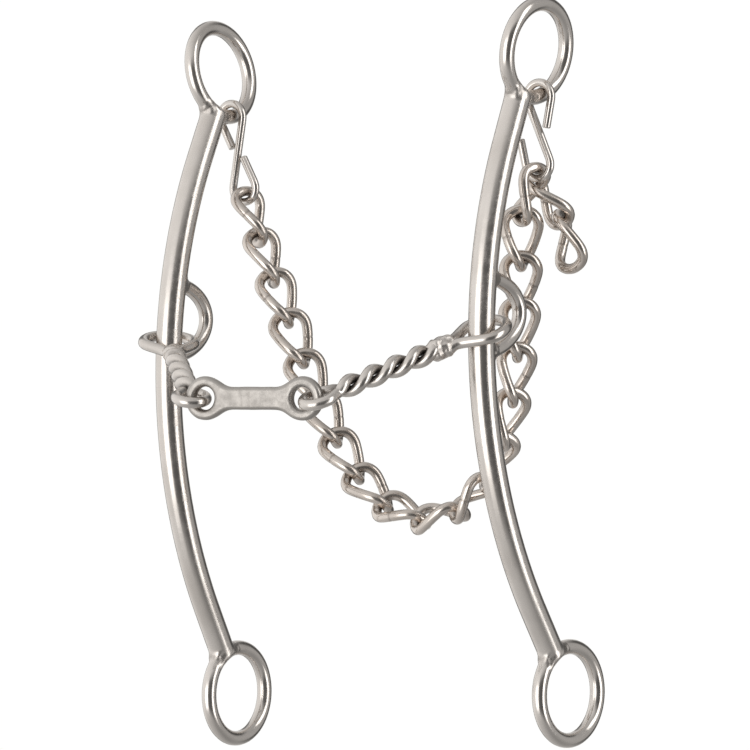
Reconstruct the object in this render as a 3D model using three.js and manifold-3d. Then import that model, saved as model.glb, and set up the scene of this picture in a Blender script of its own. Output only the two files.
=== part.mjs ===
// Sliding-cheek curb bit: two bowed cheeks, a three-piece twisted-wire mouthpiece and a curb chain.
// Millimetres, +Z up, +X from the left cheek to the right cheek, +Y to the back, where the chain hangs.
// The bit hangs by its headstall rings; the origin is on the inside of the left one, where a strap bears.
import * as THREE from 'three';
import { mergeVertices } from 'three/addons/utils/BufferGeometryUtils.js';
import Module from 'manifold-3d';

const wasm = await Module();
wasm.setup();

const degrees = THREE.MathUtils.degToRad;
const GAP = 0.3; // between pieces that bear on or are welded to each other

// Cheeks: a bar bent to an arc, with straight ends that point at the centres of two rings
const RING_SPACING = 170; // headstall ring centre to rein ring centre
const BEND_RADIUS = 131;
const END_LEAN = degrees(28); // of the bar's straight ends from the line through the ring centres
const BAR_RADIUS = 3.5;
const RING_RADIUS = 12.4; // to the middle of the ring's wire
const RING_WIRE = 2.0; // wire radius
const RING_FACETS = 30; // round a ring
const RING_WIRE_FACETS = 9; // round its wire
const RING_LEAN = degrees(10); // headstall rings lean away from the horse's face
const GAG_HEIGHT = 17.6; // middle of the sliding loop above the middle of the cheek
const GAG_DEPTH = 15.6; // from the bar's axis to the middle of the loop's wire
const GAG_HALF_HEIGHT = 9.8;
const GAG_WIRE = 1.9;

// Where the cheeks stand: the right one has turned on the mouthpiece
const CHEEKS = {
  left: { middle: new THREE.Vector3(0, 0, 0), yaw: 0, pitch: degrees(1.5), outward: -1 },
  right: { middle: new THREE.Vector3(97.8, 10, 2.5), yaw: degrees(-4.4), pitch: degrees(5.5), outward: 1 },
};

// Mouthpiece: two arms of doubled and twisted wire, joined by a flat link with an eye at each end
const WIRE = 1.5; // radius of the arms' wire
const ARM_LENGTH = 47.7; // from the middle of the small loop's bend to the middle of the cheek eye
const LOOP_RADIUS = 3.9;
const LOOP_LENGTH = 5.5; // from the middle of its bend to the start of the twist
const EYE_RADIUS = 6.7; // cheek eye, round the bar
const EYE_HALF_WIDTH = 6.9;
const EYE_LENGTH = 9; // from the weld to the middle of the eye
const STRAND_OFFSET = 1.56; // of each strand from the arm's axis
const HALF_TURNS = 5;
const WELD_LENGTH = 8;
const WELD_RADIUS = 3.1;
const LEFT_EYE_HEIGHT = 11.4; // above the middle of the cheek
const RIGHT_EYE_HEIGHT = 13.6;
const LEFT_HEADING = degrees(-44.2); // of the left arm, seen from above
const LEFT_DROOP = degrees(17.8);
const LINK_HEADING = degrees(7.35);
const RIGHT_ROLL = degrees(15); // of the right arm about its own axis

const LINK_HOLE = 3.0; // hole radius of the flat link
const LINK_HOLE_SPACING = 29;
const LINK_END_RADIUS = 5.65;
const LINK_HALF_HEIGHT = 2.95;
const LINK_THICKNESS = 2.8;
const LINK_BEVEL = 0.8;
const LINK_END_REACH = LINK_HOLE_SPACING / 2 + (LINK_HOLE + LINK_END_RADIUS) / 2;

// Curb chain: S hooks over the headstall rings and twisted oval links
const HOOK_WIRE = 1.1;
const HOOK_RADIUS = 3.7;
const HOOK_SPANS = { left: 20.1, right: 17.9 }; // between the centres of a hook's two bends
const HOOK_HANG = 0.1; // from the middle of the ring's wire down to the middle of the hook's upper bend
const HOOK_TIP = 7.8; // straight length at each end
const HOOK_TIP_LEANS = {
  // of the upper and lower end, towards the hook's middle; the right hook's lower end has been opened
  left: [degrees(16), degrees(16)],
  right: [degrees(10), degrees(-14)],
};
const LEFT_HOOK_ANGLE = degrees(8); // round the headstall ring from its lowest point
const RIGHT_HOOK_ANGLE = degrees(12);
const LEFT_HOOK_TILT = degrees(12.2); // from plumb
const CHAIN_WIRE = 1.38;
const CHAIN_HALF_LENGTH = 7.58;
const CHAIN_HALF_WIDTH = 5;
const CHAIN_TWIST = degrees(76); // left-handed, from one end of a link to the other
const CHAIN_TWIST_REACH = 6.5; // the twist lies this far each way from the middle of the link
const CHAIN_GAP = 0.42; // between links that bear on each other
const CHAIN_LINKS = 17; // between the left hook and the link on the right hook
const CHAIN_PITCH = 2 * CHAIN_HALF_LENGTH - 2 * CHAIN_WIRE - CHAIN_GAP;
const CHAIN_START = degrees(21.272); // direction of the first link from straight down
const CHAIN_CURL = degrees(0.277); // more for each link after it
const CHAIN_END = degrees(179.797); // direction of the last link, nearly straight up
const CHAIN_TURN_LINK = 9.981; // place of the sharpest turn along the chain
const CHAIN_TURN_SPREAD = 1.224;
// The roll of each link of the run about its own length
const CHAIN_ROLLS = [
  -16, -4, 8, 16, 16, 12, 12, 12, 12, 12, 10, 6, 2, -4, -10, -14, -16,
].map(degrees);
const HOOK_REST = 0.7; // from the middle of a hook's bend down to the wire of the link in it
const HOOKED_LINK_ANGLE = degrees(158); // the link on the right hook, as the run's directions are given
const HOOKED_LINK_ROLL = degrees(20);
// The two links left over: the middle of each one's near end from the middle of the link it hangs from
const SPARE_LINKS = [
  { start: [-1.65, 3.9, 4.7], yaw: degrees(32.9), droop: degrees(53.5), roll: degrees(-5.9) },
  { start: [2.04, 2.92, -3.44], yaw: degrees(-6), droop: degrees(73.2), roll: degrees(-51.2) },
];

const steel = (color, roughness) => new THREE.MeshStandardMaterial({ color, roughness, metalness: 1 });
const polished = steel(0xd2ccc6, 0.2);
const satin = steel(0xc9c5c0, 0.38);
const chainSteel = steel(0xb9b0a6, 0.28);

class PlanarArc extends THREE.Curve {
  // An arc of an ellipse: its centre, its two radii as vectors, and its start and end angles
  constructor(centre, across, up, start, end) {
    super();
    Object.assign(this, { centre, across, up, start, end });
  }

  getPoint(t, target = new THREE.Vector3()) {
    const angle = this.start + (this.end - this.start) * t;
    return target
      .copy(this.centre)
      .addScaledVector(this.across, Math.cos(angle))
      .addScaledVector(this.up, Math.sin(angle));
  }
}

class Route extends THREE.Curve {
  // A curve given by a function of t from 0 to 1
  constructor(place) {
    super();
    this.place = place;
  }

  getPoint(t, target = new THREE.Vector3()) {
    return target.copy(this.place(t));
  }
}

function joined(...curves) {
  const path = new THREE.CurvePath();
  curves.forEach((curve) => path.add(curve));
  return path;
}

function rod(path, radius, steps, halfSides = 4) {
  const section = new THREE.Shape().absarc(0, 0, radius, 0, 2 * Math.PI);
  return new THREE.ExtrudeGeometry(section, { extrudePath: path, steps, curveSegments: halfSides });
}

function toSolid(geometry) {
  const plain = geometry.clone();
  plain.deleteAttribute('normal');
  plain.deleteAttribute('uv');
  const merged = mergeVertices(plain, 1e-4);
  const vertProperties = new Float32Array(merged.attributes.position.array);
  const triVerts = new Uint32Array(merged.index.array);
  return new wasm.Manifold(new wasm.Mesh({ numProp: 3, vertProperties, triVerts }));
}

function toGeometry(solid) {
  const { vertProperties, triVerts } = solid.getMesh();
  const geometry = new THREE.BufferGeometry();
  geometry.setAttribute('position', new THREE.BufferAttribute(vertProperties, 3));
  geometry.setIndex(new THREE.BufferAttribute(triVerts, 1));
  return geometry;
}

function cut(geometry, ...tools) {
  return toGeometry(tools.reduce((solid, tool) => solid.subtract(toSolid(tool)), toSolid(geometry)));
}

function named(name, geometry, material) {
  const mesh = new THREE.Mesh(geometry, material);
  mesh.name = name;
  return mesh;
}

// Cheek pieces, in the cheek's own frame: the bar lies in the YZ plane, midway between its rings

const ringHeight = RING_SPACING / 2;
const arcEnd = BEND_RADIUS * Math.sin(END_LEAN);
const bendCentre = BEND_RADIUS * Math.cos(END_LEAN) - (ringHeight - arcEnd) * Math.tan(END_LEAN);

function barAxis(height) {
  // The point of the bar's bent stretch at this height
  return new THREE.Vector3(0, bendCentre - Math.sqrt(BEND_RADIUS ** 2 - height ** 2), height);
}

function barPath() {
  const inward = new THREE.Vector3(0, Math.sin(END_LEAN), Math.cos(END_LEAN)).multiplyScalar(RING_RADIUS);
  const top = new THREE.Vector3(0, 0, ringHeight).sub(inward);
  const bottom = new THREE.Vector3(top.x, top.y, -top.z);
  const bend = new PlanarArc(
    new THREE.Vector3(0, bendCentre, 0),
    new THREE.Vector3(0, -BEND_RADIUS, 0),
    new THREE.Vector3(0, 0, BEND_RADIUS),
    -END_LEAN,
    END_LEAN
  );
  const lower = new THREE.LineCurve3(bottom, bend.getPoint(0));
  const upper = new THREE.LineCurve3(bend.getPoint(1), top);
  return joined(lower, bend, upper);
}

function ring(wire, height, lean) {
  // A facet of the wire faces straight in, and one facet is centred on the ring's top and bottom
  const geometry = new THREE.TorusGeometry(RING_RADIUS, wire, RING_WIRE_FACETS, RING_FACETS);
  geometry.rotateZ(Math.PI / RING_FACETS);
  geometry.rotateY(Math.PI / 2);
  geometry.translate(0, 0, RING_RADIUS);
  geometry.rotateY(lean);
  return geometry.translate(0, 0, height - RING_RADIUS);
}

function gagLoop() {
  const loop = new PlanarArc(
    barAxis(GAG_HEIGHT),
    new THREE.Vector3(0, GAG_DEPTH, 0),
    new THREE.Vector3(0, 0, GAG_HALF_HEIGHT),
    -Math.PI / 2,
    Math.PI / 2
  );
  return cut(rod(loop, GAG_WIRE, 18), rod(barPath(), BAR_RADIUS + GAP, 24, 5));
}

function cheekPieces(side, { outward }) {
  const lean = RING_LEAN * outward;
  const bar = cut(
    rod(barPath(), BAR_RADIUS, 24, 5),
    ring(RING_WIRE + GAP, ringHeight, lean),
    ring(RING_WIRE + GAP, -ringHeight, 0)
  );
  return [
    named(`${side}_cheek_bar`, bar, satin),
    named(`${side}_headstall_ring`, ring(RING_WIRE, ringHeight, lean), polished),
    named(`${side}_rein_ring`, ring(RING_WIRE, -ringHeight, 0), polished),
    named(`${side}_gag_loop`, gagLoop(), polished),
  ];
}

function cheekFrame({ middle, yaw, pitch }) {
  const frame = new THREE.Group();
  frame.position.copy(middle);
  frame.rotation.set(pitch, 0, yaw, 'ZYX');
  frame.updateMatrixWorld();
  return frame;
}

const frames = { left: cheekFrame(CHEEKS.left), right: cheekFrame(CHEEKS.right) };

function headstallPoint(side, angle, radius = RING_RADIUS) {
  // A point of the headstall ring's circle, at this angle from its lowest point towards the back
  const lean = RING_LEAN * CHEEKS[side].outward;
  const rise = RING_RADIUS - radius * Math.cos(angle);
  const point = new THREE.Vector3(rise * Math.sin(lean), radius * Math.sin(angle), rise * Math.cos(lean));
  point.z += ringHeight - RING_RADIUS;
  return frames[side].localToWorld(point);
}

// Mouthpiece pieces

function armPath() {
  // The doubled wire is one closed route: out along one strand, round the cheek eye and back
  const twistStart = LOOP_LENGTH;
  const twistEnd = ARM_LENGTH - EYE_LENGTH;
  const smooth = (x, from, to) => THREE.MathUtils.smoothstep(x, from, to);
  const halfWidth = (x) => {
    if (x < 0) return Math.sqrt(Math.max(0, LOOP_RADIUS ** 2 - x ** 2));
    if (x > ARM_LENGTH) {
      const reach = Math.min(1, (x - ARM_LENGTH) / EYE_RADIUS);
      return EYE_HALF_WIDTH * Math.sqrt(1 - reach ** 2);
    }
    const loop = (LOOP_RADIUS - STRAND_OFFSET) * (1 - smooth(x, 1, twistStart));
    const eye = (EYE_HALF_WIDTH - STRAND_OFFSET) * smooth(x, twistEnd, ARM_LENGTH);
    return STRAND_OFFSET + loop + eye;
  };
  const twisted = (x) => THREE.MathUtils.clamp((x - twistStart) / (twistEnd - twistStart), 0, 1);
  const turn = (x) => -HALF_TURNS * Math.PI * twisted(x);
  const strand = (x, side) => {
    const offset = side * halfWidth(x);
    return new THREE.Vector3(x, offset * Math.cos(turn(x)), offset * Math.sin(turn(x)));
  };
  const bendSteps = 5;
  const straightSteps = 34;
  const quarterTurn = (i) => (i / bendSteps) * (Math.PI / 2);
  const along = [];
  for (let i = 0; i < bendSteps; i++) along.push(-LOOP_RADIUS * Math.cos(quarterTurn(i)));
  for (let i = 0; i < straightSteps; i++) along.push((i / straightSteps) * ARM_LENGTH);
  for (let i = 0; i <= bendSteps; i++) along.push(ARM_LENGTH + EYE_RADIUS * Math.sin(quarterTurn(i)));
  const outward = along.map((x) => strand(x, 1));
  const back = along.slice(1, -1).reverse().map((x) => strand(x, -1));
  return new THREE.CatmullRomCurve3([...outward, ...back], true, 'centripetal');
}

function arm() {
  const wire = new THREE.TubeGeometry(armPath(), 100, WIRE, 6, true);
  const end = WELD_RADIUS * 0.8;
  const profile = [
    [0, 0],
    [end, 0],
    [WELD_RADIUS, 1],
    [WELD_RADIUS, WELD_LENGTH - 1],
    [end, WELD_LENGTH],
    [0, WELD_LENGTH],
  ].map(([radius, x]) => new THREE.Vector2(radius, x));
  const weld = new THREE.LatheGeometry(profile, 10);
  weld.rotateZ(-Math.PI / 2).translate(ARM_LENGTH - EYE_LENGTH - WELD_LENGTH + 1, 0, 0);
  return toGeometry(toSolid(wire).add(toSolid(weld)));
}

function flatLink() {
  // A flat bar with a waisted neck at each end that opens into a round eye
  const end = LINK_HOLE_SPACING / 2;
  const meet = degrees(128); // where each round end starts, from the link's own direction
  const [meetX, meetY] = [end + LINK_END_RADIUS * Math.cos(meet), LINK_END_RADIUS * Math.sin(meet)];
  const neck = end - 5;
  const bar = end - 9;
  const shape = new THREE.Shape();
  shape.moveTo(-bar, LINK_HALF_HEIGHT);
  shape.lineTo(bar, LINK_HALF_HEIGHT);
  shape.quadraticCurveTo(neck, LINK_HALF_HEIGHT, meetX, meetY);
  shape.absarc(end, 0, LINK_END_RADIUS, meet, -meet, true);
  shape.quadraticCurveTo(neck, -LINK_HALF_HEIGHT, bar, -LINK_HALF_HEIGHT);
  shape.lineTo(-bar, -LINK_HALF_HEIGHT);
  shape.quadraticCurveTo(-neck, -LINK_HALF_HEIGHT, -meetX, -meetY);
  shape.absarc(-end, 0, LINK_END_RADIUS, -Math.PI + meet, Math.PI - meet, true);
  shape.quadraticCurveTo(-neck, LINK_HALF_HEIGHT, -bar, LINK_HALF_HEIGHT);
  shape.holes = [-end, end].map((x) => new THREE.Path().absarc(x, 0, LINK_HOLE, 0, 2 * Math.PI));
  const geometry = new THREE.ExtrudeGeometry(shape, {
    depth: LINK_THICKNESS - 2 * LINK_BEVEL,
    bevelThickness: LINK_BEVEL,
    bevelSize: LINK_BEVEL,
    bevelOffset: -LINK_BEVEL,
    bevelSegments: 1,
    curveSegments: 6,
  });
  geometry.translate(0, 0, LINK_BEVEL - LINK_THICKNESS / 2);
  return geometry.rotateX(Math.PI / 2);
}

function heading(yaw, droop = 0) {
  const level = Math.cos(droop);
  return new THREE.Vector3(Math.cos(yaw) * level, Math.sin(yaw) * level, -Math.sin(droop));
}

function layAlong(mesh, from, direction, roll = 0) {
  // Puts the mesh's X along the direction and its Y level, then rolls it about that direction
  const x = direction.clone().normalize();
  const y = new THREE.Vector3(0, 0, 1).cross(x).normalize();
  const z = x.clone().cross(y);
  mesh.quaternion.setFromRotationMatrix(new THREE.Matrix4().makeBasis(x, y, z));
  mesh.rotateX(roll);
  mesh.position.copy(from);
  return mesh;
}

function mouthpiece() {
  const arms = {
    left: named('left_mouthpiece_arm', arm(), satin),
    right: named('right_mouthpiece_arm', arm(), satin),
  };
  const leftEye = frames.left.localToWorld(barAxis(LEFT_EYE_HEIGHT));
  const rightEye = frames.right.localToWorld(barAxis(RIGHT_EYE_HEIGHT));
  const leftJoint = leftEye.clone().addScaledVector(heading(LEFT_HEADING, LEFT_DROOP), ARM_LENGTH);
  const along = heading(LINK_HEADING);
  const middle = leftJoint.clone().addScaledVector(along, LINK_END_REACH);
  const rightJoint = middle.clone().addScaledVector(along, LINK_END_REACH);
  return [
    layAlong(arms.left, leftJoint, leftEye.clone().sub(leftJoint)),
    layAlong(named('mouthpiece_center_link', flatLink(), satin), middle, along),
    layAlong(arms.right, rightJoint, rightEye.clone().sub(rightJoint), RIGHT_ROLL),
  ];
}

// Curb chain pieces, in the upright plane through both hooks: X along it and Z up

function hook(side) {
  // An S: the upper bend is centred on the origin and the lower one straight below it
  const hand = side === 'left' ? 1 : -1;
  const span = HOOK_SPANS[side];
  const tangent = Math.asin((2 * HOOK_RADIUS) / span);
  const half = (sign, lean) => {
    const centre = new THREE.Vector3(0, 0, sign < 0 ? -span : 0);
    const across = new THREE.Vector3(sign * hand * HOOK_RADIUS, 0, 0);
    const up = new THREE.Vector3(0, 0, sign * HOOK_RADIUS);
    const bend = new PlanarArc(centre, across, up, -tangent, Math.PI + lean);
    const tip = bend.getPoint(1);
    const point = tip.clone();
    point.x += sign * hand * HOOK_TIP * Math.sin(lean);
    point.z -= sign * HOOK_TIP * Math.cos(lean);
    return { bend, tip, point };
  };
  const [topLean, bottomLean] = HOOK_TIP_LEANS[side];
  const top = half(1, topLean);
  const bottom = half(-1, bottomLean);
  const backwards = (curve) => new PlanarArc(curve.centre, curve.across, curve.up, curve.end, curve.start);
  const path = joined(
    new THREE.LineCurve3(top.point, top.tip),
    backwards(top.bend),
    new THREE.LineCurve3(top.bend.getPoint(0), bottom.bend.getPoint(0)),
    bottom.bend,
    new THREE.LineCurve3(bottom.tip, bottom.point)
  );
  return rod(path, HOOK_WIRE, 40);
}

const linkStraight = CHAIN_HALF_LENGTH - CHAIN_HALF_WIDTH;
const linkBend = (Math.PI / 2) * CHAIN_HALF_WIDTH; // a quarter of a turn
const linkQuarter = linkStraight + linkBend;

function linkQuarterPoint(s) {
  // Along one quarter of the flat outline, from the middle of a side to the middle of an end
  if (s < linkStraight) return [s, CHAIN_HALF_WIDTH];
  const angle = (s - linkStraight) / CHAIN_HALF_WIDTH;
  return [linkStraight + CHAIN_HALF_WIDTH * Math.sin(angle), CHAIN_HALF_WIDTH * Math.cos(angle)];
}

function linkPoint(t) {
  // A long round-ended loop along X, open towards Z, then twisted about X in its middle
  const s = (((t % 1) + 1) % 1) * 4 * linkQuarter;
  const quarter = Math.floor(s / linkQuarter) % 4;
  const rest = s - quarter * linkQuarter;
  const [x, y] = linkQuarterPoint(quarter % 2 ? linkQuarter - rest : rest);
  const along = quarter < 2 ? x : -x;
  const across = quarter === 0 || quarter === 3 ? y : -y;
  const reach = THREE.MathUtils.clamp(along / CHAIN_TWIST_REACH, -1, 1);
  const twist = (CHAIN_TWIST / 2) * reach;
  return new THREE.Vector3(along, across * Math.cos(twist), -across * Math.sin(twist));
}

function chainLink(name) {
  return named(name, new THREE.TubeGeometry(new Route(linkPoint), 20, CHAIN_WIRE, 6, true), chainSteel);
}

function runDirection(index) {
  // Direction of a working link, from straight down on the left to nearly straight up on the right
  const curl = CHAIN_CURL * (index - 1);
  const turned = 1 / (1 + Math.exp((CHAIN_TURN_LINK - index) / CHAIN_TURN_SPREAD));
  return CHAIN_START + curl + (CHAIN_END - CHAIN_START - CHAIN_CURL * (CHAIN_LINKS - 1)) * turned;
}

function downwards(angle, length) {
  // A step of this length in the chain's plane, at this angle from straight down
  return new THREE.Vector3(Math.sin(angle), 0, -Math.cos(angle)).multiplyScalar(length);
}

function runLink(name, from, angle, roll) {
  // The link that runs from one bearing point to the next at this angle from straight down
  const link = chainLink(name);
  link.position.copy(from).add(downwards(angle, CHAIN_PITCH / 2));
  link.rotation.y = Math.PI / 2 - angle;
  link.rotateX(roll);
  return link;
}

function spareLinks(first) {
  // Each hangs from the link before it
  let middle = first.position.clone();
  return SPARE_LINKS.map(({ start, yaw, droop, roll }, index) => {
    const along = heading(yaw, droop);
    middle = middle.add(new THREE.Vector3(...start)).addScaledVector(along, CHAIN_HALF_LENGTH);
    return layAlong(chainLink(`spare_chain_link_${index + 1}`), middle, along, roll);
  });
}

function curbChain() {
  const left = headstallPoint('left', LEFT_HOOK_ANGLE);
  const right = headstallPoint('right', RIGHT_HOOK_ANGLE);
  const plane = new THREE.Group();
  plane.position.copy(left);
  plane.rotation.z = Math.atan2(right.y - left.y, right.x - left.x);
  plane.updateMatrixWorld();
  const rightHang = plane.worldToLocal(right.clone());

  const leftHook = named('left_curb_hook', hook('left'), polished);
  leftHook.position.z = -HOOK_HANG;
  leftHook.rotation.y = -LEFT_HOOK_TILT;
  plane.add(leftHook);

  // Each link bears on the one before; the first hangs in the left hook's lower bend
  const nip = CHAIN_WIRE + CHAIN_GAP / 2;
  let bearing = downwards(LEFT_HOOK_TILT, HOOK_SPANS.left).add(downwards(runDirection(1), nip));
  bearing.z -= HOOK_HANG + HOOK_REST;
  for (let index = 1; index <= CHAIN_LINKS; index++) {
    const angle = runDirection(index);
    const name = `chain_link_${String(index).padStart(2, '0')}`;
    plane.add(runLink(name, bearing, angle, CHAIN_ROLLS[index - 1]));
    bearing = bearing.clone().add(downwards(angle, CHAIN_PITCH));
  }
  const hooked = runLink('chain_link_18_on_hook', bearing, HOOKED_LINK_ANGLE, HOOKED_LINK_ROLL);
  plane.add(hooked, ...spareLinks(hooked));

  // The right hook runs from its ring to the far end of the hooked link
  const hookEnd = bearing.clone().add(downwards(HOOKED_LINK_ANGLE, CHAIN_PITCH + nip));
  hookEnd.z += HOOK_REST;
  const rightHook = named('right_curb_hook', hook('right'), polished);
  rightHook.position.copy(rightHang);
  rightHook.position.z -= HOOK_HANG;
  rightHook.rotation.y = -Math.atan2(hookEnd.x - rightHook.position.x, rightHook.position.z - hookEnd.z);
  plane.add(rightHook);
  return plane;
}

function bit() {
  const object = new THREE.Group();
  for (const [side, cheek] of Object.entries(CHEEKS)) {
    object.add(frames[side].add(...cheekPieces(side, cheek)));
  }
  object.add(...mouthpiece());
  object.add(curbChain());
  const wireInside = RING_RADIUS - RING_WIRE * Math.cos(Math.PI / RING_WIRE_FACETS);
  const inside = wireInside * Math.cos(Math.PI / RING_FACETS);
  object.position.copy(headstallPoint('left', Math.PI, inside)).negate();
  return object;
}

export default bit();
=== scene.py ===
# Sliding-cheek curb bit: satin cheeks, a twisted-wire mouthpiece and a curb chain, in a pale studio.
# The dimensions are those of the CAD, in millimetres; a mesh is turned into metres when it is made.
import math

import bpy
import numpy as np
from mathutils import Matrix, Vector


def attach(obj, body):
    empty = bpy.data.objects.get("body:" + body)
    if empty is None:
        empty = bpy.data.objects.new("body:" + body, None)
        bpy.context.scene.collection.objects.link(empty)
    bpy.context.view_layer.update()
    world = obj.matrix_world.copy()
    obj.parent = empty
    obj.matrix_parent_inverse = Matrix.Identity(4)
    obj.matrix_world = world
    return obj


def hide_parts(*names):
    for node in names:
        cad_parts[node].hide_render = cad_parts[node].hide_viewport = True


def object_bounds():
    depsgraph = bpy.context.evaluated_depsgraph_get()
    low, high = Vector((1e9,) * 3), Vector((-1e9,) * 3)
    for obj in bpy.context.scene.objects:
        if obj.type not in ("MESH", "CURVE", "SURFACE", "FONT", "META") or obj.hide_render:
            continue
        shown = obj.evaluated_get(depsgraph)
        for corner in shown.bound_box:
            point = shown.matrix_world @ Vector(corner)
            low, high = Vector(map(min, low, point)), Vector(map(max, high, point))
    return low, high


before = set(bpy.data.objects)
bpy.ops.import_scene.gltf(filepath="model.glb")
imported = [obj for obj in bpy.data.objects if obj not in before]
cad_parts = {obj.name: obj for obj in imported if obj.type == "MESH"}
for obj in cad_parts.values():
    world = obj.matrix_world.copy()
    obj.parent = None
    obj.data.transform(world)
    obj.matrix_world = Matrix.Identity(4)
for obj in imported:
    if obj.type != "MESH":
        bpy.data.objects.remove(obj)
cad_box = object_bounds()

MM = 0.001

# --- Dimensions shared with the CAD -------------------------------------------------------------
radians = math.radians

RING_SPACING = 170.0
BEND_RADIUS = 131.0
END_LEAN = radians(28)
BAR_RADIUS = 3.5
RING_RADIUS = 12.4
RING_WIRE = 2.0
RING_LEAN = radians(10)
GAG_HEIGHT = 17.6
GAG_DEPTH = 15.6
GAG_HALF_HEIGHT = 9.8
GAG_WIRE = 1.9
CHEEKS = {
    "left": {"middle": (0, 0, 0), "yaw": 0.0, "pitch": radians(1.5), "outward": -1},
    "right": {"middle": (97.8, 10, 2.5), "yaw": radians(-4.4), "pitch": radians(5.5), "outward": 1},
}

WIRE = 1.5
ARM_LENGTH = 47.7
LOOP_RADIUS = 3.9
LOOP_LENGTH = 5.5
EYE_RADIUS = 6.7
EYE_HALF_WIDTH = 6.9
EYE_LENGTH = 9.0
STRAND_OFFSET = 1.56
HALF_TURNS = 5
WELD_LENGTH = 8.0
WELD_RADIUS = 3.1
LEFT_EYE_HEIGHT = 11.4
RIGHT_EYE_HEIGHT = 13.6
LEFT_HEADING = radians(-44.2)
LEFT_DROOP = radians(17.8)
LINK_HEADING = radians(7.35)
RIGHT_ROLL = radians(15)

LINK_HOLE = 3.0
LINK_HOLE_SPACING = 29.0
LINK_END_RADIUS = 5.65
LINK_HALF_HEIGHT = 2.95
LINK_THICKNESS = 2.8
LINK_END_REACH = LINK_HOLE_SPACING / 2 + (LINK_HOLE + LINK_END_RADIUS) / 2

HOOK_WIRE = 1.1
HOOK_RADIUS = 3.7
HOOK_SPANS = {"left": 20.1, "right": 17.9}
HOOK_HANG = 0.1
HOOK_TIP = 7.8
HOOK_TIP_LEANS = {"left": (radians(16), radians(16)), "right": (radians(10), radians(-14))}
LEFT_HOOK_ANGLE = radians(8)
RIGHT_HOOK_ANGLE = radians(12)
LEFT_HOOK_TILT = radians(12.2)
CHAIN_WIRE = 1.38
CHAIN_HALF_LENGTH = 7.58
CHAIN_HALF_WIDTH = 5.0
CHAIN_TWIST = radians(76)
CHAIN_TWIST_REACH = 6.5
CHAIN_GAP = 0.42
CHAIN_LINKS = 17
CHAIN_PITCH = 2 * CHAIN_HALF_LENGTH - 2 * CHAIN_WIRE - CHAIN_GAP
CHAIN_START = radians(21.272)
CHAIN_CURL = radians(0.277)
CHAIN_END = radians(179.797)
CHAIN_TURN_LINK = 9.981
CHAIN_TURN_SPREAD = 1.224
ROLL_DEGREES = (-16, -4, 8, 16, 16, 12, 12, 12, 12, 12, 10, 6, 2, -4, -10, -14, -16)
CHAIN_ROLLS = [radians(roll) for roll in ROLL_DEGREES]
HOOK_REST = 0.7
HOOKED_LINK_ANGLE = radians(158)
HOOKED_LINK_ROLL = radians(20)
SPARE_LINKS = [
    {"start": (-1.65, 3.9, 4.7), "yaw": radians(32.9), "droop": radians(53.5), "roll": radians(-5.9)},
    {"start": (2.04, 2.92, -3.44), "yaw": radians(-6), "droop": radians(73.2), "roll": radians(-51.2)},
]

# --- Detail that the CAD doesn't have -------------------------------------------------------------

THINNING = 0.04  # off the radius of the arms' wire, and half of it off the hooks'
WIRE_SIDES = 18
HOOK_SIDES = 16
HOOK_CHAMFER = 0.22  # of a hook's cut ends
LINK_SIDES = 16
SEAM_WIDTH = 0.006  # of a link's butt joint, as a share of the way round
SEAM_DEPTH = 0.05  # as a share of the wire's radius
RING_SIDES = 22
RING_STEPS = 144
BAR_END_ROUNDING = 0.9
FILLET_REACH = 2.3  # between two pieces welded together
FLAT_LINK_ROUNDING = 1.1
FLAT_LINK_FLARE = 3.0
FLAT_LINK_HOLE_ROUNDING = 0.5

# Height of the unevenness, and the size and seed of its lumps
FILLET_RELIEF, FILLET_LUMPS = 0.1, (2.2, 3)
COLLAR_RELIEF, COLLAR_LUMPS = 0.2, (2.6, 5)
FLAT_LINK_RELIEF, FLAT_LINK_LUMPS = 0.025, (3.5, 11)

# Spacing of the grid that each surface is found on
CHEEK_CELL = 0.42
COLLAR_CELL = 0.3
FLAT_LINK_CELL = 0.24

# --- Vectors and frames ---------------------------------------------------------------------------


def vec(*values):
    return np.array(values, float)


def unit(v):
    return v / np.linalg.norm(v)


def turned(axis, angle):
    """Rotation matrix about X, Y or Z."""
    return np.array(Matrix.Rotation(angle, 3, axis))


class Place:
    """A rotation and an origin, in the row frame."""

    def __init__(self, origin, turn):
        self.origin, self.turn = np.asarray(origin, float), turn

    def out(self, points):
        return np.asarray(points, float) @ self.turn.T + self.origin

    def directions(self, vectors):
        return np.asarray(vectors, float) @ self.turn.T


ring_height = RING_SPACING / 2
bend_centre = BEND_RADIUS * math.cos(END_LEAN) - (
    ring_height - BEND_RADIUS * math.sin(END_LEAN)
) * math.tan(END_LEAN)


def bar_axis(height):
    return vec(0, bend_centre - math.sqrt(BEND_RADIUS**2 - height**2), height)


def cheek_place(side, shift=(0, 0, 0)):
    c = CHEEKS[side]
    return Place(vec(*c["middle"]) + shift, turned("Z", c["yaw"]) @ turned("X", c["pitch"]))


def ring_point(side, angle, radius=RING_RADIUS):
    """A point of the headstall ring, at this angle from its lowest point, in the cheek's frame."""
    lean = RING_LEAN * CHEEKS[side]["outward"]
    rise = RING_RADIUS - radius * math.cos(angle)
    return vec(
        rise * math.sin(lean),
        radius * math.sin(angle),
        rise * math.cos(lean) + ring_height - RING_RADIUS,
    )


RING_FACETS, RING_WIRE_FACETS = 30, 9
inner_radius = RING_RADIUS - RING_WIRE * math.cos(math.pi / RING_WIRE_FACETS)
inside = inner_radius * math.cos(math.pi / RING_FACETS)
shift = -cheek_place("left").out(ring_point("left", math.pi, inside))
cheeks = {side: cheek_place(side, shift) for side in CHEEKS}

# --- Meshes ---------------------------------------------------------------------------------------


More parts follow.
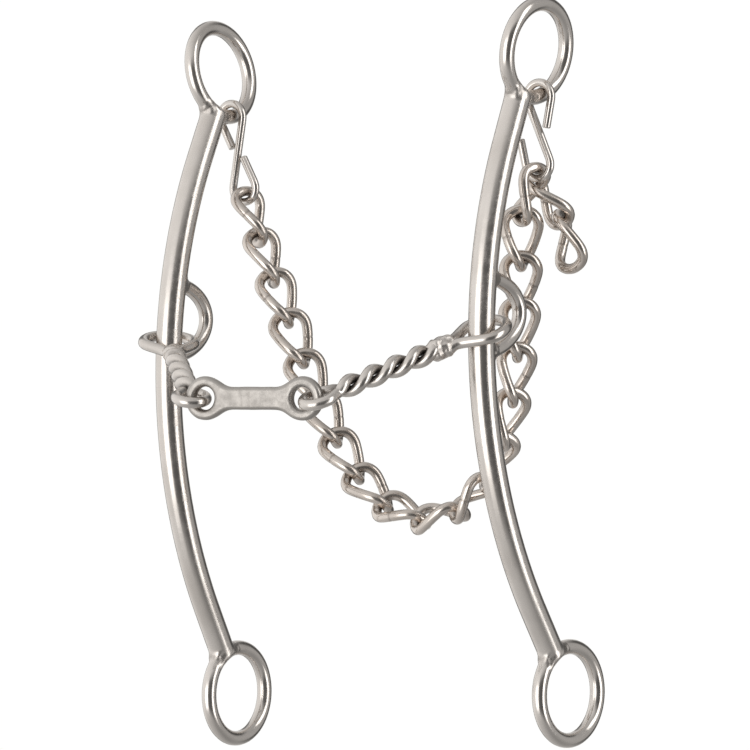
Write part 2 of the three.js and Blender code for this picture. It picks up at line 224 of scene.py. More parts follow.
def add_piece(name, points, faces, material, body, replaced=(), fields=None, normals=None):
    """Makes a piece from points in millimetres, in the row frame.

    Its fields say, from 0 to 1 at each point, how much painted shade and dark seams darken it and how much
    the steel is like a weld.
    """
    mesh = bpy.data.meshes.new(name)
    mesh.from_pydata((np.asarray(points) * MM).tolist(), [], [list(map(int, f)) for f in faces])
    for key, values in (fields or {}).items():
        attribute = mesh.attributes.new(key, "FLOAT", "POINT")
        attribute.data.foreach_set("value", np.asarray(values, np.float32))
    mesh.shade_smooth()
    if normals is None:
        mesh.set_sharp_from_angle(angle=radians(50))
    else:
        mesh.normals_split_custom_set_from_vertices(normals.tolist())
    mesh.materials.append(material)
    obj = bpy.data.objects.new(name, mesh)
    bpy.context.scene.collection.objects.link(obj)
    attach(obj, body)
    if replaced:
        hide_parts(*replaced)
    return obj


def resampled(points, count, closed):
    """The same route with evenly spaced points."""
    points = np.asarray(points, float)
    if closed:
        points = np.vstack([points, points[:1]])
    along = np.concatenate([[0], np.cumsum(np.linalg.norm(np.diff(points, axis=0), axis=1))])
    at = np.linspace(0, along[-1], count, endpoint=not closed)
    return np.stack([np.interp(at, along, points[:, i]) for i in range(3)], axis=1)


def smoothed(points, rounds, closed):
    points = points.copy()
    for _ in range(rounds):
        mean = (np.roll(points, 1, 0) + np.roll(points, -1, 0) + 2 * points) / 4
        if closed:
            points = mean
        else:
            points[1:-1] = mean[1:-1]
    return points


def tangents_of(centres, closed):
    if closed:
        t = np.roll(centres, -1, 0) - np.roll(centres, 1, 0)
    else:
        t = np.gradient(centres, axis=0)
    return t / np.linalg.norm(t, axis=1, keepdims=True)


def sweep(centres, radius, sides, closed=False, chamfer=0.0):
    """A round wire along a route. Gives its points, its faces and each point's outward direction."""
    centres = np.asarray(centres, float)
    tangents = tangents_of(centres, closed)
    radii = np.broadcast_to(np.asarray(radius, float), (len(centres),)).copy()
    normal = unit(np.cross(tangents[0], vec(0.31, 0.2, 0.93)))
    normals = []
    for t in tangents:
        normal = unit(normal - t * (normal @ t))
        normals.append(normal)
    normals = np.array(normals)
    if closed:
        last = unit(normals[-1] - tangents[0] * (normals[-1] @ tangents[0]))
        gap = math.atan2(np.cross(last, normals[0]) @ tangents[0], last @ normals[0])
        extra = gap * np.arange(len(centres)) / len(centres)
    else:
        extra = np.zeros(len(centres))
    sides_across = np.cross(tangents, normals)
    if chamfer:
        for index, sign in ((0, -1), (-1, 1)):
            bevel = centres[index] - chamfer * sign * tangents[index]
            where = 1 if index == 0 else len(centres) - 1
            centres = np.insert(centres, where, bevel, axis=0)
            normals = np.insert(normals, where, normals[index], axis=0)
            sides_across = np.insert(sides_across, where, sides_across[index], axis=0)
            radii = np.insert(radii, where, radii[index])
            extra = np.insert(extra, where, extra[index])
        radii[0] -= chamfer
        radii[-1] -= chamfer
    angles = np.linspace(0, 2 * math.pi, sides, endpoint=False)
    spin = angles[None, :] + extra[:, None]
    outward = np.cos(spin)[..., None] * normals[:, None] + np.sin(spin)[..., None] * sides_across[:, None]
    points = centres[:, None] + radii[:, None, None] * outward
    rows = len(centres)
    faces = []
    for i in range(rows if closed else rows - 1):
        j = (i + 1) % rows
        for k in range(sides):
            m = (k + 1) % sides
            faces.append((i * sides + k, i * sides + m, j * sides + m, j * sides + k))
    flat = points.reshape(-1, 3)
    if not closed:
        first, last = len(flat), len(flat) + 1
        flat = np.vstack([flat, centres[:1], centres[-1:]])
        end = (rows - 1) * sides
        for k in range(sides):
            m = (k + 1) % sides
            faces.append((first, m, k))
            faces.append((last, end + k, end + m))
    return flat, faces, outward.reshape(-1, 3)


def smooth_min(a, b, reach):
    h = np.maximum(reach - np.abs(a - b), 0) / reach
    return np.minimum(a, b) - h * h * reach / 4


def smooth_max(a, b, reach):
    return -smooth_min(-a, -b, reach)


def lumps(points, size, seed):
    """Smooth noise of about unit height, with lumps of this size."""
    rng = np.random.default_rng(seed)
    total = np.zeros(len(points))
    for _ in range(9):
        wave = unit(rng.normal(size=3)) * (2 * math.pi / (size * rng.uniform(0.7, 1.6)))
        total += np.sin(points @ wave + rng.uniform(0, 2 * math.pi))
    return total / 3


def gradient(field, points, step=0.03):
    out = np.empty_like(points)
    for i in range(3):
        d = np.zeros(3)
        d[i] = step
        out[:, i] = field(points + d) - field(points - d)
    return out / (2 * step)


def surface(field, low, high, cell):
    """The closed surface where a field of distance is zero, as points, four-sided faces and normals."""
    low, high = np.asarray(low, float), np.asarray(high, float)
    counts = np.ceil((high - low) / cell).astype(int) + 1
    axes = [low[i] + cell * np.arange(counts[i]) for i in range(3)]
    grid = np.stack(np.meshgrid(*axes, indexing="ij"), -1).reshape(-1, 3)
    values = np.concatenate([field(part) for part in np.array_split(grid, max(1, len(grid) // 200000))])
    values = values.reshape(counts)
    corners = [(i, j, k) for i in (0, 1) for j in (0, 1) for k in (0, 1)]
    cells = counts - 1

    def at(corner):
        i, j, k = corner
        return values[i : i + cells[0], j : j + cells[1], k : k + cells[2]]

    filled = sum((at(c) < 0).astype(np.int8) for c in corners)
    active = (filled > 0) & (filled < 8)
    number = np.full(active.shape, -1)
    number[active] = np.arange(active.sum())
    total = np.zeros((active.sum(), 3))
    hits = np.zeros(active.sum())
    for a in corners:
        for axis in range(3):
            if a[axis]:
                continue
            b = tuple(1 if i == axis else a[i] for i in range(3))
            va, vb = at(a)[active], at(b)[active]
            crossed = (va < 0) != (vb < 0)
            share = np.where(crossed, va / np.where(crossed, va - vb, 1), 0)
            spot = np.tile(vec(*a), (len(va), 1))
            spot[:, axis] = share
            total += spot * crossed[:, None]
            hits += crossed
    base = np.argwhere(active)
    points = low + cell * (base + total / hits[:, None])
    quads = []
    for axis in range(3):
        u, v = [(1, 2), (2, 0), (0, 1)][axis]
        first = [slice(None)] * 3
        second = [slice(None)] * 3
        first[axis], second[axis] = slice(0, -1), slice(1, None)
        here, there = values[tuple(first)] < 0, values[tuple(second)] < 0
        for flip in (False, True):
            edge = np.argwhere((here & ~there) if not flip else (~here & there))
            keep = (edge[:, u] > 0) & (edge[:, v] > 0) & (edge[:, u] < cells[u]) & (edge[:, v] < cells[v])
            edge = edge[keep]
            around = []
            for du, dv in [(-1, -1), (0, -1), (0, 0), (-1, 0)]:
                c = edge.copy()
                c[:, u] += du
                c[:, v] += dv
                around.append(number[tuple(c.T)])
            quad = np.stack(around, 1)
            quads.append(quad[:, ::-1] if flip else quad)
    quads = np.vstack(quads)
    for _ in range(3):
        slope = gradient(field, points)
        size = np.maximum((slope**2).sum(1), 0.25)
        move = (field(points) / size)[:, None] * slope
        points = points - np.clip(move, -cell / 2, cell / 2)
    slope = gradient(field, points)
    return points, quads, slope / np.maximum(np.linalg.norm(slope, axis=1, keepdims=True), 1e-6)


# --- Materials ------------------------------------------------------------------------------------


def steel(name, light, dark, rough, wave=0.3, grain=0.25, scratch=0.25, shade_and_soil=(0.10, 0.085, 0.075)):
    """Steel with slight waves, a fine grain and scratches, and painted shade, dark seams and weld ripple
    where a mesh says so.
    """
    material = bpy.data.materials.new(name)
    material.use_nodes = True
    nodes, links = material.node_tree.nodes, material.node_tree.links
    shader = nodes["Principled BSDF"]
    shader.inputs["Metallic"].default_value = 1.0
    shader.inputs["IOR"].default_value = 2.5

    def add(kind, **settings):
        node = nodes.new(kind)
        for key, value in settings.items():
            setattr(node, key, value)
        return node

    def put(socket, value):
        if isinstance(value, bpy.types.NodeSocket):
            links.new(value, socket)
        else:
            socket.default_value = value

    def math_node(operation, a, b=0.0, clamp=False):
        node = add("ShaderNodeMath", operation=operation, use_clamp=clamp)
        put(node.inputs[0], a)
        put(node.inputs[1], b)
        return node.outputs[0]

    def ramp(value, low, high, to_low, to_high):
        node = add("ShaderNodeMapRange", interpolation_type="SMOOTHSTEP")
        sockets = ("Value", "From Min", "From Max", "To Min", "To Max")
        for key, v in zip(sockets, (value, low, high, to_low, to_high)):
            put(node.inputs[key], v)
        return node.outputs["Result"]

    coordinates = add("ShaderNodeTexCoord").outputs["Object"]

    def noise(scale, detail, stretch=(1, 1, 1), roughness=0.5):
        mapping = add("ShaderNodeMapping")
        links.new(coordinates, mapping.inputs["Vector"])
        mapping.inputs["Scale"].default_value = stretch
        node = add("ShaderNodeTexNoise")
        links.new(mapping.outputs["Vector"], node.inputs["Vector"])
        put(node.inputs["Scale"], scale)
        put(node.inputs["Detail"], detail)
        put(node.inputs["Roughness"], roughness)
        return node.outputs["Fac"]

    def mesh_field(key):
        return add("ShaderNodeAttribute", attribute_name=key).outputs["Fac"]

    patches = noise(70, 3)
    fine = noise(2600, 2)
    hatch = noise(900, 2, (1, 1, 0.06))
    hatch_across = noise(800, 1, (0.05, 1, 1))
    # Painted shade: where a mesh's field says so, the colour is taken towards a near-black, patchy by noise;
    # on a chain link the same field also gives the dark seam of its butt joint.
    shade_and_grime, weld = mesh_field("shade_and_grime"), mesh_field("weld")
    spots = noise(420, 4, roughness=0.7)
    shade_and_dirt = math_node("MULTIPLY", shade_and_grime, ramp(spots, 0.25, 0.75, 0.55, 1.0), clamp=True)

    tint = add("ShaderNodeMix", data_type="RGBA")
    put(tint.inputs["Factor"], ramp(patches, 0.3, 0.7, 0.0, 1.0))
    put(tint.inputs["A"], (*light, 1))
    put(tint.inputs["B"], (*dark, 1))
    shaded_and_soiled = add("ShaderNodeMix", data_type="RGBA")
    put(shaded_and_soiled.inputs["Factor"], shade_and_dirt)
    links.new(tint.outputs["Result"], shaded_and_soiled.inputs["A"])
    put(shaded_and_soiled.inputs["B"], (*shade_and_soil, 1))
    links.new(shaded_and_soiled.outputs["Result"], shader.inputs["Base Color"])

    worn = ramp(spots, 0.35, 0.7, rough * 0.8, rough * 1.3)
    marked = math_node("ADD", worn, ramp(hatch, 0.55, 0.75, 0.0, 0.08))
    marked = math_node("ADD", marked, math_node("MULTIPLY", shade_and_dirt, 0.25))
    roughness = math_node("ADD", marked, math_node("MULTIPLY", weld, 0.12), clamp=True)
    links.new(roughness, shader.inputs["Roughness"])

    # Each layer of relief: its pattern, how much of it shows, and its height in metres
    scratches = math_node("ADD", ramp(hatch, 0.6, 0.7, 0, 1), ramp(hatch_across, 0.62, 0.7, 0, 1))
    ripple = math_node("MULTIPLY", noise(1100, 3), weld)
    height = None
    for value, strength, distance in (
        (noise(160, 2), wave, 0.00006),
        (fine, grain, 0.00001),
        (scratches, scratch, 0.000006),
        (ripple, 0.4, 0.0001),
    ):
        bump = add("ShaderNodeBump")
        put(bump.inputs["Strength"], strength)
        put(bump.inputs["Distance"], distance)
        links.new(value, bump.inputs["Height"])
        if height:
            links.new(height, bump.inputs["Normal"])
        height = bump.outputs["Normal"]
    links.new(height, shader.inputs["Normal"])
    return material


satin = steel(
    "satin_steel", (0.725, 0.68, 0.64), (0.64, 0.595, 0.555), 0.22, wave=0.4, grain=0.25, scratch=0.5
)
flat_satin = steel(
    "flat_satin_steel", (0.475, 0.448, 0.42), (0.41, 0.385, 0.36), 0.42, wave=0.25, grain=1.0
)
polished = steel("polished_steel", (0.735, 0.69, 0.65), (0.67, 0.625, 0.585), 0.17, wave=0.4, grain=0.15)
chain_steel = steel("chain_steel", (0.74, 0.675, 0.62), (0.60, 0.54, 0.49), 0.2, wave=0.6, grain=0.08)

# --- Cheeks ---------------------------------------------------------------------------------------

arc_end = vec(bend_centre - BEND_RADIUS * math.cos(END_LEAN), BEND_RADIUS * math.sin(END_LEAN))
end_run = vec(math.sin(END_LEAN), math.cos(END_LEAN))
straight = vec(0, ring_height) - RING_RADIUS * end_run - arc_end
STRAIGHT_LENGTH = float(straight @ end_run)


def bar_distance(p):
    """To the bent bar, in the cheek's frame: an arc that goes on as straight ends."""
    y, z = p[:, 1], np.abs(p[:, 2])
    in_bend = np.arctan2(z, bend_centre - y) < END_LEAN
    from_bend = BEND_RADIUS - np.hypot(y - bend_centre, z)
    from_line = (y - arc_end[0]) * end_run[1] - (z - arc_end[1]) * end_run[0]
    across = np.where(in_bend, from_bend, from_line)
    past_end = (y - arc_end[0]) * end_run[0] + (z - arc_end[1]) * end_run[1] - STRAIGHT_LENGTH
    return smooth_max(np.hypot(p[:, 0], across) - BAR_RADIUS, past_end, BAR_END_ROUNDING)


def ring_distance(p, height, lean):
    up, normal = vec(math.sin(lean), 0, math.cos(lean)), vec(math.cos(lean), 0, -math.sin(lean))
    if height > 0:
        centre = vec(0, 0, height - RING_RADIUS) + RING_RADIUS * up
    else:
        centre = vec(0, 0, height)
    q = p - centre
    return np.hypot(np.hypot(q[:, 1], q @ up) - RING_RADIUS, q @ normal) - RING_WIRE


gag_angles = np.linspace(-math.pi / 2, math.pi / 2, 61)
gag_route = bar_axis(GAG_HEIGHT) + np.stack(
    [0 * gag_angles, GAG_DEPTH * np.cos(gag_angles), GAG_HALF_HEIGHT * np.sin(gag_angles)], 1
)


def gag_distance(p):
    """To the sliding loop; exact near its two feet, where it meets the bar."""
    out = np.full(len(p), 50.0)
    near = (p[:, 1] > -25) & (np.abs(p[:, 2] - GAG_HEIGHT) < GAG_HALF_HEIGHT + 8)
    if near.any():
        q = p[near]
        best = np.full(len(q), 1e9)
        for a, b in zip(gag_route[:-1], gag_route[1:]):
            edge = b - a
            t = np.clip((q - a) @ edge / (edge @ edge), 0, 1)
            best = np.minimum(best, ((q - a - t[:, None] * edge) ** 2).sum(1))
        out[near] = np.sqrt(best) - GAG_WIRE
    return out


def cheek(side):
    place = cheeks[side]
    lean = RING_LEAN * CHEEKS[side]["outward"]
    body = f"{side}_cheek"

    def welded(p):
        bar = bar_distance(p)
        rings = np.minimum(ring_distance(p, ring_height, lean), ring_distance(p, -ring_height, 0))
        others = np.minimum(rings, gag_distance(p))
        bead = np.maximum(1 - np.abs(bar - others) / FILLET_REACH, 0) * (others < FILLET_REACH)
        return bar, others, bead

    def bar_field(p):
        bar, others, bead = welded(p)
        fused = smooth_min(bar, others, FILLET_REACH) - FILLET_RELIEF * bead * lumps(p, *FILLET_LUMPS)
        return np.maximum(fused, bar - 0.93 * FILLET_REACH)

    reach = BAR_RADIUS + FILLET_REACH + 1
    depth = bend_centre - BEND_RADIUS
    low = (-reach, depth - reach, -ring_height + RING_RADIUS - 8)
    high = (reach, arc_end[0] + 14, ring_height - RING_RADIUS + 8)
    points, quads, normals = surface(bar_field, low, high, CHEEK_CELL)
    # Painted shade along the crease where the rings and the sliding loop meet the bar, darkest in its middle.
    bead = welded(points)[2]
    add_piece(
        f"{side}_cheek_bar_fused",
        place.out(points),
        quads,
        satin,
        body,
        [f"{side}_cheek_bar"],
        {"weld": np.clip(bead * 1.5, 0, 1), "shade_and_grime": 0.45 * np.clip(bead * 2 - 0.9, 0, 1)},
        place.directions(normals),
    )

    angles = np.linspace(0, 2 * math.pi, RING_STEPS, endpoint=False)
    tops = {
        "headstall_ring": np.array([ring_point(side, a) for a in angles]),
        "rein_ring": np.stack(
            [0 * angles, RING_RADIUS * np.sin(angles), RING_RADIUS * np.cos(angles) - ring_height], 1
        ),
    }
    for part, route in tops.items():
        points, faces, _ = sweep(route, RING_WIRE, RING_SIDES, closed=True)
        node = f"{side}_{part}"
        add_piece(f"{node}_wire", place.out(points), faces, polished, body, [node])
    points, faces, _ = sweep(gag_route, GAG_WIRE, RING_SIDES)
    node = f"{side}_gag_loop"
    add_piece(f"{node}_wire", place.out(points), faces, polished, body, [node])


# --- Mouthpiece -----------------------------------------------------------------------------------


def smoothstep(x, low, high):
    t = np.clip((x - low) / (high - low), 0, 1)
    return t * t * (3 - 2 * t)


def strand_half_width(x):
    if x < 0:
        return math.sqrt(max(0, LOOP_RADIUS**2 - x * x))
    if x > ARM_LENGTH:
        reach = min(1, (x - ARM_LENGTH) / EYE_RADIUS)
        return EYE_HALF_WIDTH * math.sqrt(1 - reach**2)
    loop = (LOOP_RADIUS - STRAND_OFFSET) * (1 - smoothstep(x, 1, LOOP_LENGTH))
    eye = (EYE_HALF_WIDTH - STRAND_OFFSET) * smoothstep(x, ARM_LENGTH - EYE_LENGTH, ARM_LENGTH)
    return STRAND_OFFSET + loop + eye


def strand(x, side):
    twisted = min(1, max(0, (x - LOOP_LENGTH) / (ARM_LENGTH - EYE_LENGTH - LOOP_LENGTH)))
    turn = -HALF_TURNS * math.pi * twisted
    offset = side * strand_half_width(x)
    return vec(x, offset * math.cos(turn), offset * math.sin(turn))


def arm_route():
    quarter = np.linspace(0, math.pi / 2, 24)
    loop = -LOOP_RADIUS * np.cos(quarter)
    eye = ARM_LENGTH + EYE_RADIUS * np.sin(quarter[1:])
    along = np.concatenate([loop, np.linspace(0, ARM_LENGTH, 360)[1:], eye])
    route = [strand(x, 1) for x in along] + [strand(x, -1) for x in along[::-1][1:-1]]
    return smoothed(resampled(route, 460, True), 6, True)


def heading(yaw, droop=0.0):
    level = math.cos(droop)
    return vec(math.cos(yaw) * level, math.sin(yaw) * level, -math.sin(droop))


def laid_along(origin, direction, roll=0.0):
    x = unit(direction)
    y = unit(np.cross(vec(0, 0, 1), x))
    z = np.cross(x, y)
    return Place(origin, np.stack([x, y, z], 1) @ turned("X", roll))


def outline_distance(x, y):
    """To the flat link's outline: two round ends and a bar that flares into them."""
    ends = np.hypot(np.abs(x) - LINK_HOLE_SPACING / 2, y) - LINK_END_RADIUS
    bar = np.maximum(np.abs(y) - LINK_HALF_HEIGHT, np.abs(x) - LINK_HOLE_SPACING / 2)
    holes = LINK_HOLE - np.hypot(np.abs(x) - LINK_HOLE_SPACING / 2, y)
    return smooth_max(smooth_min(ends, bar, FLAT_LINK_FLARE), holes, FLAT_LINK_HOLE_ROUNDING)


def flat_link_field(p):
    """To the flat link, with rounded edges and a slightly uneven skin."""
    outline = outline_distance(p[:, 0], p[:, 2]) + FLAT_LINK_ROUNDING
    face = np.abs(p[:, 1]) - LINK_THICKNESS / 2 + FLAT_LINK_ROUNDING
    outside = np.hypot(np.maximum(outline, 0), np.maximum(face, 0)) - FLAT_LINK_ROUNDING
    smooth = outside + np.minimum(np.maximum(outline, face), 0)
    return smooth + FLAT_LINK_RELIEF * lumps(p, *FLAT_LINK_LUMPS)


def mouthpiece():
    eyes = {
        "left": cheeks["left"].out(bar_axis(LEFT_EYE_HEIGHT)),
        "right": cheeks["right"].out(bar_axis(RIGHT_EYE_HEIGHT)),
    }
    joint = eyes["left"] + ARM_LENGTH * heading(LEFT_HEADING, LEFT_DROOP)
    along = heading(LINK_HEADING)
    middle = joint + LINK_END_REACH * along
    far_joint = middle + LINK_END_REACH * along
    places = {
        "left": laid_along(joint, eyes["left"] - joint),
        "right": laid_along(far_joint, eyes["right"] - far_joint, RIGHT_ROLL),
    }
    route = arm_route()
    points, faces, outward = sweep(route, WIRE - THINNING, WIRE_SIDES, closed=True)
    # Painted shade in the grooves of the twisted wire: the sides of the strands that face the arm's axis are
    # darkened, along the tightly twisted part.
    centres = np.repeat(route, WIRE_SIDES, axis=0)
    to_axis = -centres * vec(0, 1, 1)
    to_axis /= np.maximum(np.linalg.norm(to_axis, axis=1, keepdims=True), 1e-3)
    facing = (outward * to_axis).sum(1)
    packed = smoothstep(centres[:, 0], LOOP_LENGTH - 4, LOOP_LENGTH + 2) * (
        1 - smoothstep(centres[:, 0], ARM_LENGTH - 9, ARM_LENGTH - 4)
    )
    shade_and_grime = smoothstep(facing, -0.15, 0.45) * packed
    weld_start = ARM_LENGTH - EYE_LENGTH - WELD_LENGTH + 1

    def weld_field(p):
        """To the weld collar: a lumpy bead that narrows towards its ends."""
        along = (p[:, 0] - weld_start) / WELD_LENGTH * 2 - 1
        profile = WELD_RADIUS * np.sqrt(np.maximum(1 - 0.75 * along**4, 0.02))
        radial = np.hypot(p[:, 1], p[:, 2])
        body = np.maximum(radial - profile, (np.abs(along) - 1) * WELD_LENGTH / 2)
        return body - COLLAR_RELIEF * lumps(p, *COLLAR_LUMPS) + COLLAR_RELIEF

    across = WELD_RADIUS + 1.5
    low, high = (weld_start - 2, -across, -across), (weld_start + WELD_LENGTH + 2, across, across)
    weld_points, weld_quads, weld_normals = surface(weld_field, low, high, COLLAR_CELL)
    # Painted shade in the hollows between the lumps of the weld collar.
    hollows = smoothstep(-lumps(weld_points, *COLLAR_LUMPS), 0.2, 1.2)
    weld_fields = {"weld": np.ones(len(weld_points)), "shade_and_grime": 0.35 * hollows}
    for side, place in places.items():
        node = f"{side}_mouthpiece_arm"
        body = f"{side}_arm"
        add_piece(
            f"{node}_wire", place.out(points), faces, satin, body, [node], {"shade_and_grime": shade_and_grime}
        )
        add_piece(
            f"{node}_weld",
            place.out(weld_points),
            weld_quads,
            satin,
            body,
            fields=weld_fields,
            normals=place.directions(weld_normals),
        )
    place = laid_along(middle, along)
    end = LINK_HOLE_SPACING / 2 + LINK_END_RADIUS + 1
    points, quads, normals = surface(flat_link_field, (-end, -2.2, -6.8), (end, 2.2, 6.8), FLAT_LINK_CELL)
    add_piece(
        "mouthpiece_center_link_body",
        place.out(points),
        quads,
        flat_satin,
        "center_link",
        ["mouthpiece_center_link"],
        normals=place.directions(normals),
    )


# --- Curb chain -----------------------------------------------------------------------------------


def arc(centre, across, up, start, end, count):
    a = np.linspace(start, end, count)[:, None]
    return centre + across * np.cos(a) + up * np.sin(a)


def hook_route(side):
    hand = 1 if side == "left" else -1
    span = HOOK_SPANS[side]
    tangent = math.asin(2 * HOOK_RADIUS / span)

    def half(sign, lean):
        centre = vec(0, 0, -span if sign < 0 else 0)
        across, up = vec(sign * hand * HOOK_RADIUS, 0, 0), vec(0, 0, sign * HOOK_RADIUS)
        bend = arc(centre, across, up, -tangent, math.pi + lean, 48)
        tip = bend[-1] + HOOK_TIP * vec(sign * hand * math.sin(lean), 0, -sign * math.cos(lean))
        return np.vstack([bend, tip])

    top_lean, bottom_lean = HOOK_TIP_LEANS[side]
    route = np.vstack([half(1, top_lean)[::-1], half(-1, bottom_lean)])
    return smoothed(resampled(route, 150, False), 4, False)


def link_route(count=100):
    straight_length = CHAIN_HALF_LENGTH - CHAIN_HALF_WIDTH
    quarter = straight_length + math.pi / 2 * CHAIN_HALF_WIDTH
    out = []
    for i in range(count):
        s = 4 * quarter * i / count
        index = int(s // quarter) % 4
        rest = s - index * quarter
        along = quarter - rest if index % 2 else rest
        if along < straight_length:
            x, y = along, CHAIN_HALF_WIDTH
        else:
            a = (along - straight_length) / CHAIN_HALF_WIDTH
            x, y = straight_length + CHAIN_HALF_WIDTH * math.sin(a), CHAIN_HALF_WIDTH * math.cos(a)
        x = x if index < 2 else -x
        y = y if index in (0, 3) else -y
        reach = min(1, max(-1, x / CHAIN_TWIST_REACH))
        twist = CHAIN_TWIST / 2 * reach
        out.append(vec(x, y * math.cos(twist), -y * math.sin(twist)))
    return smoothed(np.array(out), 2, True)


link_centres = link_route()


def link_piece(node, place, body, seam):
    """One chain link, with the closed butt joint of its wire at this share of the way round."""
    share = np.arange(len(link_centres)) / len(link_centres)
    from_seam = np.abs((share - seam + 0.5) % 1 - 0.5)
    groove = np.exp(-((from_seam / SEAM_WIDTH) ** 2))
    radii = CHAIN_WIRE * (1 - SEAM_DEPTH * groove)
    points, faces, outward = sweep(link_centres, radii, LINK_SIDES, closed=True)
    centres = np.repeat(link_centres, LINK_SIDES, axis=0)
    # Painted shade on the insides of the link's ends, where the links hang in each other, and a dark line
    # along the seam of the butt joint.
    inward = -centres / np.linalg.norm(centres, axis=1, keepdims=True)
    at_end = smoothstep(np.abs(centres[:, 0]), CHAIN_HALF_LENGTH * 0.7, CHAIN_HALF_LENGTH)
    shade_and_grime = 0.75 * smoothstep((outward * inward).sum(1), 0.2, 0.9) * at_end
    shade_and_grime = np.maximum(shade_and_grime, 0.6 * np.repeat(groove, LINK_SIDES))
    fields = {"shade_and_grime": shade_and_grime}
    add_piece(f"{node}_wire", place.out(points), faces, chain_steel, body, [node], fields)


def run_direction(index):
    turned_share = 1 / (1 + math.exp((CHAIN_TURN_LINK - index) / CHAIN_TURN_SPREAD))
    swing = CHAIN_END - CHAIN_START - CHAIN_CURL * (CHAIN_LINKS - 1)
    return CHAIN_START + CHAIN_CURL * (index - 1) + swing * turned_share


def downwards(angle, length):
    return length * vec(math.sin(angle), 0, -math.cos(angle))


def curb_chain():
    left = cheeks["left"].out(ring_point("left", LEFT_HOOK_ANGLE))
    right = cheeks["right"].out(ring_point("right", RIGHT_HOOK_ANGLE))
    yaw = turned("Z", math.atan2(right[1] - left[1], right[0] - left[0]))
    plane = Place(left, yaw)
    right_hang = (right - left) @ yaw

    def in_plane(origin, turn):
        return Place(plane.out(origin), yaw @ turn)

    def run_place(start, angle, roll):
        middle = start + downwards(angle, CHAIN_PITCH / 2)
        return middle, in_plane(middle, turned("Y", math.pi / 2 - angle) @ turned("X", roll))

    def hook_piece(side, origin, tilt):
        points, faces, _ = sweep(hook_route(side), HOOK_WIRE - THINNING / 2, HOOK_SIDES, chamfer=HOOK_CHAMFER)
        place = in_plane(origin, turned("Y", -tilt))
        node = f"{side}_curb_hook"
        body = f"{side}_hook"
        add_piece(f"{node}_wire", place.out(points), faces, polished, body, [node])

    hook_piece("left", vec(0, 0, -HOOK_HANG), LEFT_HOOK_TILT)
    nip = CHAIN_WIRE + CHAIN_GAP / 2
    bearing = downwards(LEFT_HOOK_TILT, HOOK_SPANS["left"]) + downwards(run_direction(1), nip)
    bearing[2] -= HOOK_HANG + HOOK_REST
    for index in range(1, CHAIN_LINKS + 1):
        angle = run_direction(index)
        _, place = run_place(bearing, angle, CHAIN_ROLLS[index - 1])
        link_piece(f"chain_link_{index:02d}", place, f"link_{index:02d}", 0.5 if index % 2 else 0.0)
        bearing = bearing + downwards(angle, CHAIN_PITCH)
    middle, place = run_place(bearing, HOOKED_LINK_ANGLE, HOOKED_LINK_ROLL)
    link_piece("chain_link_18_on_hook", place, "link_18_on_hook", 0.5)
    for number, spare in enumerate(SPARE_LINKS, 1):
        along = heading(spare["yaw"], spare["droop"])
        middle = middle + vec(*spare["start"]) + CHAIN_HALF_LENGTH * along
        local = laid_along(middle, along, spare["roll"])
        place = in_plane(local.origin, local.turn)
        link_piece(f"spare_chain_link_{number}", place, f"spare_link_{number}", 0.0)
    end = bearing + downwards(HOOKED_LINK_ANGLE, CHAIN_PITCH + nip)
    end[2] += HOOK_REST
    right_hang[2] -= HOOK_HANG
    hook_piece("right", right_hang, math.atan2(end[0] - right_hang[0], right_hang[2] - end[2]))


cheek("left")
cheek("right")
mouthpiece()
curb_chain()

# --- Camera ---------------------------------------------------------------------------------------

VIEW_AZIMUTH = radians(36)
VIEW_DISTANCE = 1290.0
LENS = 226.4
SENSOR = 36.0
to_right = vec(math.cos(VIEW_AZIMUTH), math.sin(VIEW_AZIMUTH), 0)
to_camera = vec(math.sin(VIEW_AZIMUTH), -math.cos(VIEW_AZIMUTH), 0)
AIM_RIGHT = 39.1  # of the view's middle from the middle of the left cheek
AIM_UP = 2.1
aim = cheeks["left"].origin + AIM_RIGHT * to_right + vec(0, 0, AIM_UP)

camera_data = bpy.data.cameras.new("camera")
camera_data.lens = LENS
camera_data.sensor_width = SENSOR
camera_data.clip_start = 0.01
camera_data.clip_end = 50
camera = bpy.data.objects.new("camera", camera_data)
bpy.context.scene.collection.objects.link(camera)
camera.location = Vector((aim + VIEW_DISTANCE * to_camera) * MM)
camera.rotation_euler = (math.pi / 2, 0, VIEW_AZIMUTH)
bpy.context.scene.camera = camera

# --- Floor and light ------------------------------------------------------------------------------

FLOOR_DROP = 0.18  # below the lowest rein ring, in metres as the radius is
FLOOR_RADIUS = 2.2
FLOOR_CORNERS = 96
BACKDROP_STRENGTH = 1.02
SHADE_DEPTH = 0.8
# Places in degrees of azimuth and elevation, with the width of the soft edges
HIGHLIGHTS = (
    {"level": 1.6, "left": -60, "right": -22, "bottom": -28, "top": 14, "soft": 4, "soft_up": 9},
    {"level": 2.2, "left": 50, "right": 75, "bottom": -22, "top": 46, "soft": 3, "soft_up": 6},
)
floor_mesh = bpy.data.meshes.new("floor")
rim_angles = np.linspace(0, 2 * math.pi, FLOOR_CORNERS, endpoint=False)
rim = [(FLOOR_RADIUS * math.cos(a), FLOOR_RADIUS * math.sin(a), 0) for a in rim_angles]
floor_mesh.from_pydata(rim, [], [list(range(len(rim)))])
floor = bpy.data.objects.new("floor", floor_mesh)
bpy.context.scene.collection.objects.link(floor)
floor.location = (aim[0] * MM, aim[1] * MM, cad_box[0].z - FLOOR_DROP)
floor.visible_glossy = False
floor_material = bpy.data.materials.new("pale_floor")
floor_material.use_nodes = True
floor_shader = floor_material.node_tree.nodes["Principled BSDF"]
floor_shader.inputs["Base Color"].default_value = (0.97, 0.97, 0.965, 1)
floor_shader.inputs["Roughness"].default_value = 0.9
floor_mesh.materials.append(floor_material)


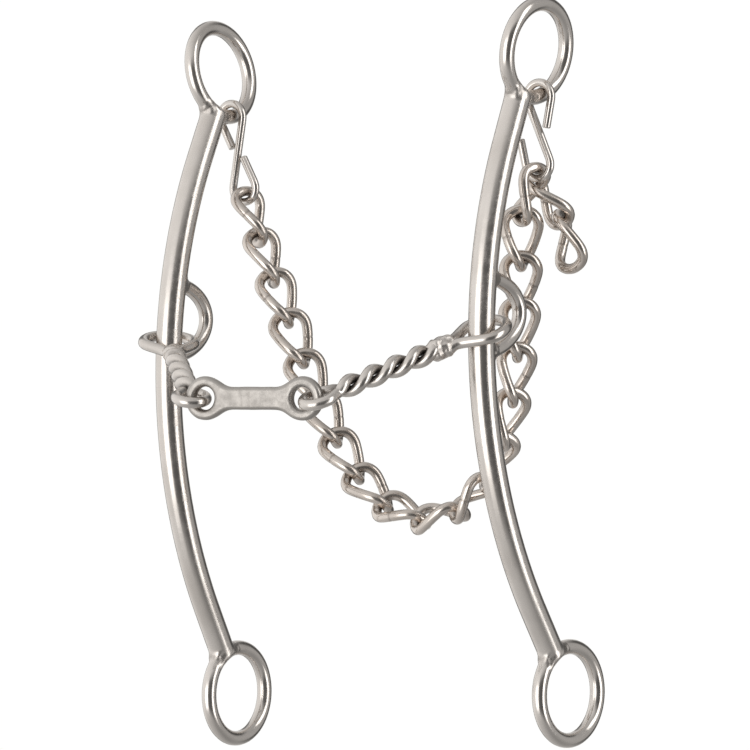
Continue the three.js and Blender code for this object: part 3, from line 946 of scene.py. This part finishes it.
def studio():
    """A white surround that the camera sees, and the lights and darks that the steel reflects."""
    world = bpy.data.worlds.new("studio")
    bpy.context.scene.world = world
    world.use_nodes = True
    nodes, links = world.node_tree.nodes, world.node_tree.links
    nodes.clear()

    def add(kind, *values, **settings):
        node = nodes.new(kind)
        for key, value in settings.items():
            setattr(node, key, value)
        for socket, value in zip(node.inputs, values):
            if isinstance(value, bpy.types.NodeSocket):
                links.new(value, socket)
            elif value is not None:
                socket.default_value = value
        return node

    def calc(operation, a, b=0.0):
        return add("ShaderNodeMath", a, b, operation=operation).outputs[0]

    def ramp(value, low, high, to_low=0.0, to_high=1.0):
        return add(
            "ShaderNodeMapRange", value, low, high, to_low, to_high, interpolation_type="SMOOTHSTEP"
        ).outputs["Result"]

    direction = add("ShaderNodeTexCoord").outputs["Generated"]

    def along(axis):
        return add("ShaderNodeVectorMath", direction, tuple(axis), operation="DOT_PRODUCT").outputs["Value"]

    # Degrees: azimuth from the camera's side of the object, growing to the right, and elevation
    azimuth = calc("DEGREES", calc("ARCTAN2", along(to_right), along(to_camera)))
    elevation = calc("DEGREES", calc("ARCSINE", along(vec(0, 0, 1))))

    def window(value, low, high, soft):
        rising = ramp(value, low - soft, low + soft)
        return calc("MULTIPLY", rising, ramp(value, high - soft, high + soft, 1, 0))

    def panel(level, left, right, bottom, top, soft, soft_up):
        shape = calc("MULTIPLY", window(azimuth, left, right, soft), window(elevation, bottom, top, soft_up))
        return calc("MULTIPLY", shape, level)

    # Soft surround: bright to the left, grey to the right, duller above and below. Dark windows in front and
    # behind are reflected as the dark streaks of round bars, and two bright panels as their highlights.
    sideways = along(to_right)
    level = ramp(sideways, -0.75, 0.95, 1.0, 0.45)
    level = calc("MULTIPLY", level, ramp(elevation, -60, -5, 0.62, 1.0))
    level = calc("MULTIPLY", level, ramp(elevation, 10, 70, 1.0, 0.8))
    shade = calc("MULTIPLY", window(azimuth, -16, 44, 8), window(elevation, -35, 30, 14))
    behind = calc("ADD", window(azimuth, -177, -150, 5), window(azimuth, 118, 158, 7))
    shade = calc("ADD", shade, calc("MULTIPLY", behind, window(elevation, -30, 45, 14)))
    level = calc("MULTIPLY", level, calc("SUBTRACT", 1.0, calc("MULTIPLY", shade, SHADE_DEPTH)))
    for highlight in HIGHLIGHTS:
        level = calc("ADD", level, panel(**highlight))
    strength = add("ShaderNodeMix", add("ShaderNodeLightPath").outputs["Is Camera Ray"])
    links.new(level, strength.inputs["A"])
    strength.inputs["B"].default_value = BACKDROP_STRENGTH
    background = nodes.new("ShaderNodeBackground")
    background.inputs["Color"].default_value = (1, 0.995, 0.985, 1)
    links.new(strength.outputs["Result"], background.inputs["Strength"])
    output = nodes.new("ShaderNodeOutputWorld")
    links.new(background.outputs["Background"], output.inputs["Surface"])


studio()
bpy.context.scene.view_settings.view_transform = "Standard"
